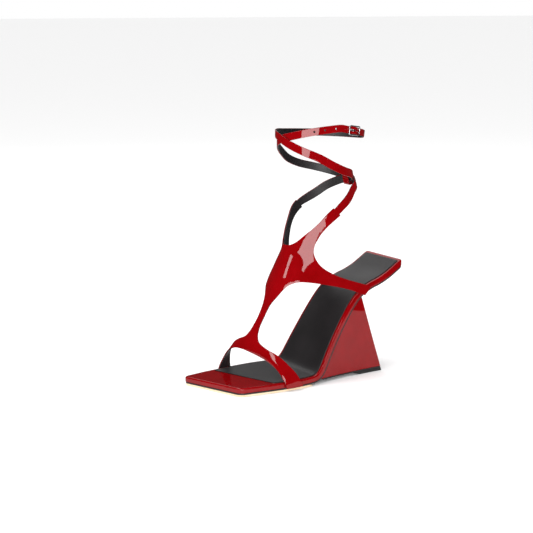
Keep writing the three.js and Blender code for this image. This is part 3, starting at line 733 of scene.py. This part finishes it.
MM_PER_DEGREE = 0.62          # rough width of one degree, for laying a pattern out flat
ARM_UPPER = [(0, 130.2), (8, 130.6), (15, 132.6), (21.5, 135.7), (32, 141.9), (43.4, 147.5),
             (52.8, 152.2), (67.9, 160), (81.7, 166.3)]
ARM_LOWER = [(90, 158.4), (70.8, 151.6), (56.4, 144.7), (49, 139.2), (44.4, 134), (43, 127.7),
             (47.1, 122.1), (53.8, 117.8), (63.7, 114.4), (72.4, 112.7), (83.2, 111.6), (89.5, 111)]
WING_LOWER = [(89.5, 97.6), (81, 100.8), (73, 102.3), (60.7, 102.5), (47.8, 101.7), (40, 100.3),
              (32.7, 96.9), (27.8, 92.9), (20, 84.6), (11.5, 75.2), (7.8, 62.6), (6.5, 53), (7, 47),
              (11, 41.6), (23, 39), (35, 39.1), (45, 39.3), (58, 39.3), (70, 40), (90, 40.5)]
TOE_FRONT = [(90, 31), (75, 31), (52, 29.9), (33, 29.7), (17, 29.8), (1.6, 31.1), (-13.5, 33.3),
             (-25, 35), (-41, 36.8), (-60, 36), (-76, 33.6), (-90, 31)]
INNER_TOE_BACK = [(-90, 40.5), (-70, 42), (-45, 43.2), (-31, 43.8), (-20, 44.4), (-13, 45.6),
                  (-8.6, 49), (-4.6, 55), (-2.4, 63.4), (-2.6, 74.5), (-7, 83), (-16, 90),
                  (-27.8, 95.4), (-40, 100.6), (-47.8, 101.7), (-60.7, 102.5), (-73, 102.3),
                  (-81, 100.8), (-89.5, 97.6)]


def mirrored(run):
    return [(-phi, t) for phi, t in run][::-1]


def vamp_outline(inset):
    """The vamp's pattern laid flat and made smaller by inset, as evenly spaced points."""
    runs = [ARM_UPPER, ARM_LOWER, WING_LOWER, TOE_FRONT, INNER_TOE_BACK, mirrored(ARM_LOWER),
            mirrored(ARM_UPPER)]
    flat = [through([(phi * MM_PER_DEGREE, t) for phi, t in run], 12) for run in runs]
    loop = softened(np.vstack(flat), 0.4, 1100)
    around = unit(np.roll(loop, -1, axis=0) - np.roll(loop, 1, axis=0))
    turn = np.sum(loop[:, 0] * np.roll(loop[:, 1], -1) - loop[:, 1] * np.roll(loop[:, 0], -1))
    return loop + np.sign(turn) * inset * np.column_stack([-around[:, 1], around[:, 0]])


def rand_room():
    """The space that the covered platform takes, for cutting the vamp clear of it."""
    low, high = -RUNNER_THICKNESS - LAYER_GAP, RAND_HEIGHT + LAYER_GAP
    rings = [sheet_ring(-LAYER_GAP, offset, count=300) for offset in (low, high)]
    return stacked("rand_room", rings, 5, top=layer_surface(high), bottom=layer_surface(low))


def vamp_sheet(name, low, high, inset, width):
    """The pattern wrapped on the foot, as a sheet between two distances from it."""
    outline = vamp_outline(inset)
    points, triangles = net(outline, 2.3)
    phi, t = points[:, 0] / MM_PER_DEGREE, points[:, 1]
    count, edge = len(points), len(outline)
    vertices = np.vstack([off_form(phi, t, np.full(count, distance)) for distance in (low, high)])
    faces = [*(triangles[:, ::-1]).tolist(), *(triangles + count).tolist()]
    faces += [(k, (k + 1) % edge, (k + 1) % edge + count, k + count) for k in range(edge)]
    obj = piece(name, vertices, faces)
    bevelled(obj, width, 3, 50)
    cut(obj, rand_room())
    return obj


def vamp():
    outer = vamp_sheet("vamp_patent", *OUTER, 0, 0.22)
    finish(outer, PATENT, "sandal", "vamp_outer")
    lining = vamp_sheet("vamp_lining_nappa", *LINING, 0.15, 0.15)
    finish(lining, NAPPA, "sandal", "vamp_lining")


# ---------- straps ----------

DEGREES_PER_MM = 1.3          # along a strap at the buckle


def at_buckle(turn, along, lift):
    rise = math.tan(math.radians(BUCKLE["tilt"]))
    return turn + BUCKLE["phi"] + along * DEGREES_PER_MM, BUCKLE["height"] + along * rise, lift


# Each point is phi, t and lift. Both straps start a little inside the end of their arm. The outer
# one goes round the back, forward on the inner side, under the other at the front, and back to the
# buckle.
OUTER_ROUTE = [
    (81.5, 160.5, 0), (87.4, 163.2, 0), (96.5, 167.5, 0), (115, 175.3, 0), (128, 180.6, 0.3),
    (140, 184.2, 1.8), (155, 186.8, 1.8), (168, 188.2, 1.8), (180, 189.4, 1.8),
    (197, 191.3, 1.8), (212, 193.7, 1.8),
    (224, 195.9, 1), (244, 199.2, 0), (265, 202.6, 0), (289, 208.7, 0), (307, 215.9, 0),
    (326, 222.6, 0), (345, 227.6, 0), (360, 230.6, 0), (383, 234, 0), (400, 236.5, 0),
    (412, 237.9, 0), (430, 239.3, 0),
    *[at_buckle(360, *spot) for spot in ((-14, 0), (-9, 0), (-7, 0.45), (-5, 1.45), (-3, 2.75),
      (-1.3, 3.5), (0, 3.7), (1.3, 3.5), (3, 2.65), (5, 1.6), (7, 1.15), (9.6, 1.15))],
]
INNER_ROUTE = [
    (-81.5, 160.5, 0), (-87.4, 163.2, 0), (-101.5, 167.9, 0), (-117, 173.4, 0), (-134, 179.8, 0),
    (-157, 185.5, 0), (-180, 189.2, 0), (-203, 192.6, 0), (-232, 197.4, 0), (-248, 200.3, 0),
    (-272, 206.5, 0),
    (-291, 212.7, 0), (-303, 216.1, 0.4), (-313, 218.7, 1.8), (-326, 222.2, 1.8),
    (-340, 226.1, 1.8), (-352, 229.5, 1.8), (-365, 232.6, 1.8), (-381, 234.6, 1.8),
    (-398, 234.9, 0.5), (-416, 233.9, 0), (-447, 232.4, 0), (-474, 231.4, 0), (-497, 230.7, 0),
    (-529, 230.4, 0), (-555, 231.2, 0),
    *[at_buckle(-720, *spot) for spot in ((20, 0), (15, 0), (12.5, -0.35), (10.5, -0.62),
      (7, -0.65), (0.9, -0.65))],
]
HOLES = (413.5, 428, 442.5)   # places of the punched holes, in degrees along the outer strap
HOLE_RADIUS = 1.0

# Room cut in the straps at the buckle: its reach along, across and out from the buckle's middle.
OUTER_PRONG_SLOT = ((-5.6, 0.4), (-1, 1), (-1, 9))
INNER_PRONG_SLOT = ((-4, 2.4), (-1, 1), (-3, 5))
LOOP_ROOM = ((-12, 9.5), (-7, 7), (-6, 3))


def centripetal(points, per_span=14):
    """A curve through points with Catmull-Rom pieces timed by the root of their spacing, and how
    far along it each place is, from 0 to 1."""
    p = np.array(points, float)
    p = np.vstack([2 * p[0] - p[1], p, 2 * p[-1] - p[-2]])
    w = (np.arange(per_span) / per_span)[:, None]
    runs = []
    for a, b, c, d in zip(p, p[1:], p[2:], p[3:]):
        d0, d1, d2 = (math.sqrt(np.linalg.norm(v)) for v in (b - a, c - b, d - c))
        t1 = ((b - a) / d0 - (c - a) / (d0 + d1) + (c - b) / d1) * d1
        t2 = ((c - b) / d1 - (d - b) / (d1 + d2) + (d - c) / d2) * d1
        runs.append(b + t1 * w + (3 * c - 3 * b - 2 * t1 - t2) * w**2
                    + (2 * b - 2 * c + t1 + t2) * w**3)
    path = np.vstack([*runs, p[-2:-1]])
    return path, np.linspace(0, 1, len(path))


def strap_course(route, pitch=1.1):
    """The strap's middle line, its directions across and outwards, and its width, point by point."""
    flat, share = centripetal([(phi * MM_PER_DEGREE, t, lift) for phi, t, lift in route])
    centre = off_form(flat[:, 0] / MM_PER_DEGREE, flat[:, 1], flat[:, 2])
    s = lengths(centre)
    even = np.linspace(0, s[-1], int(s[-1] / pitch))
    share = np.interp(even, s, share)
    flat = at_lengths(flat, s, even)
    phi, t = flat[:, 0] / MM_PER_DEGREE, flat[:, 1]
    centre = off_form(phi, t, flat[:, 2])
    tangent = unit(np.gradient(centre, axis=0))
    side = unit(np.cross(form_normal(phi, t), tangent))
    out = unit(np.cross(tangent, side))
    width = np.interp(share, [0, 0.35, 1], [STRAP_WIDTH[k] for k in ("start", "middle", "tip")])
    width = np.minimum(width, STRAP_WIDTH["tucked"] + even / 12)
    return {"centre": centre, "side": side, "out": out, "width": width, "phi": phi}


def strap(name, course, low, high, narrower=0.0, radius=0.25, dome=0.0):
    rings = []
    for centre, side, out, width in zip(*(course[k] for k in ("centre", "side", "out", "width"))):
        section = round_section(width - narrower, low, high, radius, dome)
        rings.append(centre + section[:, :1] * side + section[:, 1:] * out)
    return piece(name, *swept(rings))


def rod(place, direction, radius, length, sides=24):
    """A round bar with its middle at place."""
    bpy.ops.object.select_all(action="DESELECT")
    bpy.ops.mesh.primitive_cylinder_add(vertices=sides, radius=radius * MM, depth=length * MM)
    obj = bpy.context.object
    obj.rotation_mode = "QUATERNION"
    obj.rotation_quaternion = Vector(direction).to_track_quat("Z", "Y")
    obj.location = (Vector(place) - Vector((0, MIDDLE_Y, 0))) * MM
    bpy.ops.object.transform_apply(location=True, rotation=True, scale=True)
    return obj


def buckle_axes():
    """The buckle's place on the leg, and its directions e along the strap, h up and n outwards."""
    origin, e, h, n = leg_frame(BUCKLE["phi"], BUCKLE["height"])
    tilt = math.radians(BUCKLE["tilt"])
    return origin, e * math.cos(tilt) + h * math.sin(tilt), h * math.cos(tilt) - e * math.sin(tilt), n


def buckle_point(e, h, n):
    origin, along, up, out = buckle_axes()
    return origin + along * e + up * h + out * n


def buckle_box(name, e, h, n):
    """A block on the buckle's axes between two values of each."""
    corners = [buckle_point(a, b, c) for c in n for b in h for a in e]
    faces = [(0, 2, 3, 1), (4, 5, 7, 6), (0, 1, 5, 4), (2, 6, 7, 3), (0, 4, 6, 2), (1, 3, 7, 5)]
    return piece(name, corners, faces)


def hole_cutters(course):
    spots = [int(np.argmin(np.abs(course["phi"] - phi))) for phi in HOLES]
    return [rod(course["centre"][i], course["out"][i], HOLE_RADIUS, 8) for i in spots]


def outer_strap():
    course = strap_course(OUTER_ROUTE)
    red = strap("ankle_strap_outer_patent", course, *OUTER, dome=0.08)
    cut(red, *hole_cutters(course), buckle_box("slot", *OUTER_PRONG_SLOT))
    finish(red, PATENT, "sandal", "outer_strap")
    lining = strap("ankle_strap_outer_lining", course, *LINING, narrower=0.3, radius=0.18)
    cut(lining, *hole_cutters(course), buckle_box("slot", *OUTER_PRONG_SLOT))
    finish(lining, NAPPA, "sandal", "outer_strap_lining")


def inner_strap():
    course = strap_course(INNER_ROUTE)
    red = strap("ankle_strap_inner_patent", course, *OUTER, dome=0.08)
    bore = BUCKLE["pin_radius"] + BUCKLE["slack"]
    pin = buckle_point(0, 0, BUCKLE["pin_out"])
    axis = buckle_axes()[2]
    loop = rod(pin, axis, bore + BUCKLE["loop"], STRAP_WIDTH["tip"] - 0.4, 32)
    bevelled(loop, 0.2, 2, 50)
    cut(red, loop, operation="UNION")
    cut(red, rod(pin, axis, bore, 18, 32), buckle_box("slot", *INNER_PRONG_SLOT))
    finish(red, PATENT, "sandal", "inner_strap")
    lining = strap("ankle_strap_inner_lining", course, *LINING, narrower=0.3, radius=0.18)
    cut(lining, buckle_box("room", *LOOP_ROOM))
    finish(lining, NAPPA, "sandal", "inner_strap_lining")


# ---------- hardware ----------

def round_loop(half_a, low_b, high_b, radius, per_corner=7):
    """A rectangle with round corners, as points (a, b) and outward directions."""
    points, normals = [], []
    centres = ((half_a - radius, high_b - radius), (radius - half_a, high_b - radius),
               (radius - half_a, low_b + radius), (half_a - radius, low_b + radius))
    for corner, (ca, cb) in enumerate(centres):
        for step in range(per_corner):
            angle = math.radians(90 * (corner + step / (per_corner - 1)))
            normal = (math.cos(angle), math.sin(angle))
            points.append((ca + radius * normal[0], cb + radius * normal[1]))
            normals.append(normal)
    return points, normals


def back_keeper():
    """The loop that holds the straps together at the back."""
    origin, e, h, n = leg_frame(180.0, KEEPER["height"])
    points, normals = round_loop(KEEPER["half_height"], KEEPER["low"], KEEPER["high"],
                                 KEEPER["corner"])
    half = KEEPER["wall"] / 2
    rings = []
    for (a, b), (da, db) in zip(points, normals):
        section = round_section(2 * KEEPER["half_width"], -half, half, 0.3, 0.05)
        middle, outward = origin + h * a + n * b, h * da + n * db
        rings.append(middle + section[:, :1] * e + section[:, 1:] * outward)
    obj = piece("keeper_loop_patent", *swept(rings, closed=True))
    finish(obj, PATENT, "keeper", "back_keeper")


def buckle_frame():
    """A cast frame with round edges, two ears, and the centre bar between them."""
    origin, e, h, n = buckle_axes()
    middle = (BUCKLE["low"] + BUCKLE["high"]) / 2
    half = (BUCKLE["high"] - BUCKLE["low"]) / 2
    points, normals = round_loop(BUCKLE["half_length"] - half, half - BUCKLE["half_height"],
                                 BUCKLE["half_height"] - half, BUCKLE["corner"])
    rings = []
    for (a, b), (da, db) in zip(points, normals):
        section = round_section(2 * half, -half, half, 0.38)
        place, outward = origin + e * a + h * b + n * middle, e * da + h * db
        rings.append(place + section[:, :1] * n + section[:, 1:] * outward)
    obj = piece("buckle_frame_cast", *swept(rings, closed=True))
    for side in (-1, 1):
        rail = sorted((side * (BUCKLE["half_height"] - 1.05), side * (BUCKLE["half_height"] - 0.05)))
        ear = buckle_box("ear", (-1.1, 1.1), rail, (BUCKLE["pin_out"] - 0.9, middle))
        bevelled(ear, 0.35, 3, 40)
        cut(obj, ear, operation="UNION")
    bar = rod(origin + n * BUCKLE["pin_out"], h, BUCKLE["pin_radius"], 2 * BUCKLE["half_height"] - 0.8)
    cut(obj, bar, operation="UNION")
    finish(obj, NICKEL, "buckle", "buckle_frame")


# The prong's middle line from its eye to its tip: along the strap, and out from the leg.
PRONG_COURSE = [(-0.3, 2.9), (-1.6, 2.95), (-3.2, 3.95), (-4.3, 4.72), (-5.4, 5.0), (-8.15, 5.02)]


def buckle_prong():
    """A bent tongue with an eye round the centre bar, resting on the frame's far bar."""
    origin, e, h, n = buckle_axes()
    course = through(PRONG_COURSE, 8)
    tangent = unit(np.gradient(course, axis=0))
    rings = []
    for i, (a, b) in enumerate(course):
        slim = 1 - 0.45 * max(0, (i - len(course) + 6) / 6) ** 2      # the last 6 rings taper
        half = PRONG["half_thickness"] * slim
        section = round_section(PRONG["width"] * slim, -half, half, PRONG["edge"] * slim)
        outward = -e * tangent[i, 1] + n * tangent[i, 0]
        outward = outward if np.dot(outward, n) > 0 else -outward
        rings.append(origin + e * a + n * b + section[:, :1] * h + section[:, 1:] * outward)
    obj = piece("buckle_prong_bent", *swept(rings))
    pin = origin + n * BUCKLE["pin_out"]
    bore = BUCKLE["pin_radius"] + BUCKLE["slack"]
    eye = rod(pin, h, bore + BUCKLE["loop"], PRONG["width"], 32)
    bevelled(eye, 0.2, 2, 50)
    cut(obj, eye, operation="UNION")
    cut(obj, rod(pin, h, bore, 6, 32))
    finish(obj, NICKEL, "prong", "buckle_prong")


# ---------- pieces kept from the design ----------

HIDDEN_FINISH = {
    "insole_board": BOARD, "insole_foam": FOAM, "steel_shank": STEEL, "wedge_core": CORE,
    "shank_rivet_front": STEEL, "shank_rivet_rear": STEEL, "lift_pin_inner": STEEL,
    "lift_pin_outer": STEEL, **{f"heel_screw_{number}": STEEL for number in range(1, 5)},
}


def dress_hidden_pieces():
    for name, material in HIDDEN_FINISH.items():
        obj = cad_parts[name]
        if not obj.material_slots:
            obj.data.materials.append(material)
        for slot in obj.material_slots:
            slot.material = material


# ---------- studio ----------

AIM = Vector((-0.0143, -0.0249, 0.1082))
CAMERA = {"azimuth": 57.57, "elevation": 11.34, "distance": 1.246, "lens": 88.35, "sensor": 36.0}
# Azimuth and elevation in degrees, distance, width and height in metres, and power in watts.
SOFTBOXES = {
    "front_panel": (60, -3, 1.6, 1.25, 1.2, 46),
    "toe_softbox": (24, 38, 1.5, 0.35, 0.35, 4),
    "left_softbox": (-30, 60, 1.6, 0.7, 0.7, 9),
    "rear_softbox": (252, 34, 1.8, 1.0, 0.6, 3.5),
}
TABLE_RADIUS = 0.33           # metres
ROOM_MIRRORED = 0.06          # the room's brightness in reflections; 1 to the eye and as light


def direction(azimuth, elevation):
    a, e = math.radians(azimuth), math.radians(elevation)
    return Vector((math.sin(a) * math.cos(e), -math.cos(a) * math.cos(e), math.sin(e)))


def aimed(name, data, azimuth, elevation, distance):
    """Puts a camera or a light at a distance from the sandal in one direction, turned to it."""
    obj = bpy.data.objects.new(name, data)
    back = direction(azimuth, elevation)
    obj.location = AIM + back * distance
    obj.rotation_mode = "QUATERNION"
    obj.rotation_quaternion = (-back).to_track_quat("-Z", "Y")
    bpy.context.scene.collection.objects.link(obj)
    return obj


def camera():
    data = bpy.data.cameras.new("camera")
    data.lens, data.sensor_width = CAMERA["lens"], CAMERA["sensor"]
    data.clip_start, data.clip_end = 0.05, 100
    bpy.context.scene.camera = aimed("camera", data, CAMERA["azimuth"], CAMERA["elevation"],
                                     CAMERA["distance"])


def softbox(name, azimuth, elevation, distance, width, tall, power):
    data = bpy.data.lights.new(name, "AREA")
    data.shape = "RECTANGLE"
    data.size, data.size_y, data.energy = width, tall, power
    aimed(name, data, azimuth, elevation, distance)


def floor_piece(name, add_shape, material):
    bpy.ops.object.select_all(action="DESELECT")
    add_shape()
    floor = bpy.context.object
    floor.name = name
    floor.data.materials.append(material)
    return floor


def studio():
    """A white table top in a large pale room. The room is nearly dark in reflections, and the
    floor beyond the table isn't in them at all, so that the lacquer mirrors little but the lights."""
    material, tree, _ = new_material("floor_matt_white")
    shader_out(tree, {"Base Color": linear("#FAFAFA"), "Roughness": 0.9,
                      "Specular IOR Level": 0.1}, {})
    floor_piece("table_top", lambda: bpy.ops.mesh.primitive_circle_add(
        vertices=96, radius=TABLE_RADIUS, fill_type="NGON", location=(0, 0, -0.0002)), material)
    far = floor_piece("studio_floor", lambda: bpy.ops.mesh.primitive_plane_add(
        size=60, location=(0, 0, -0.0006)), material)
    far.visible_glossy = False
    world = bpy.data.worlds.new("studio")
    bpy.context.scene.world = world
    world.use_nodes = True
    tree = world.node_tree
    tree.nodes.clear()
    rays = add_node(tree, "ShaderNodeLightPath")
    white = linear("#FFFFFF")
    seen = add_node(tree, "ShaderNodeBackground", {"Color": white, "Strength": 1.0})
    mirrored_room = add_node(tree, "ShaderNodeBackground",
                             {"Color": white, "Strength": ROOM_MIRRORED})
    light = add_node(tree, "ShaderNodeBackground", {"Color": white, "Strength": 1.0})
    around = add_node(tree, "ShaderNodeMixShader", links={"Fac": rays.outputs["Is Glossy Ray"]})
    tree.links.new(light.outputs[0], around.inputs[1])
    tree.links.new(mirrored_room.outputs[0], around.inputs[2])
    mixed = add_node(tree, "ShaderNodeMixShader", links={"Fac": rays.outputs["Is Camera Ray"]})
    tree.links.new(around.outputs[0], mixed.inputs[1])
    tree.links.new(seen.outputs[0], mixed.inputs[2])
    add_node(tree, "ShaderNodeOutputWorld", links={"Surface": mixed.outputs[0]})
    for name, settings in SOFTBOXES.items():
        softbox(name, *settings)
    bpy.context.scene.view_settings.view_transform = "Standard"


camera()
studio()
dress_hidden_pieces()
platform_cover()
insock_lining()
runner_sole()
tread_sole()
wedge_cover()
heel_base_pad()
heel_lift()
vamp()
outer_strap()
inner_strap()
back_keeper()
buckle_frame()
buckle_prong()
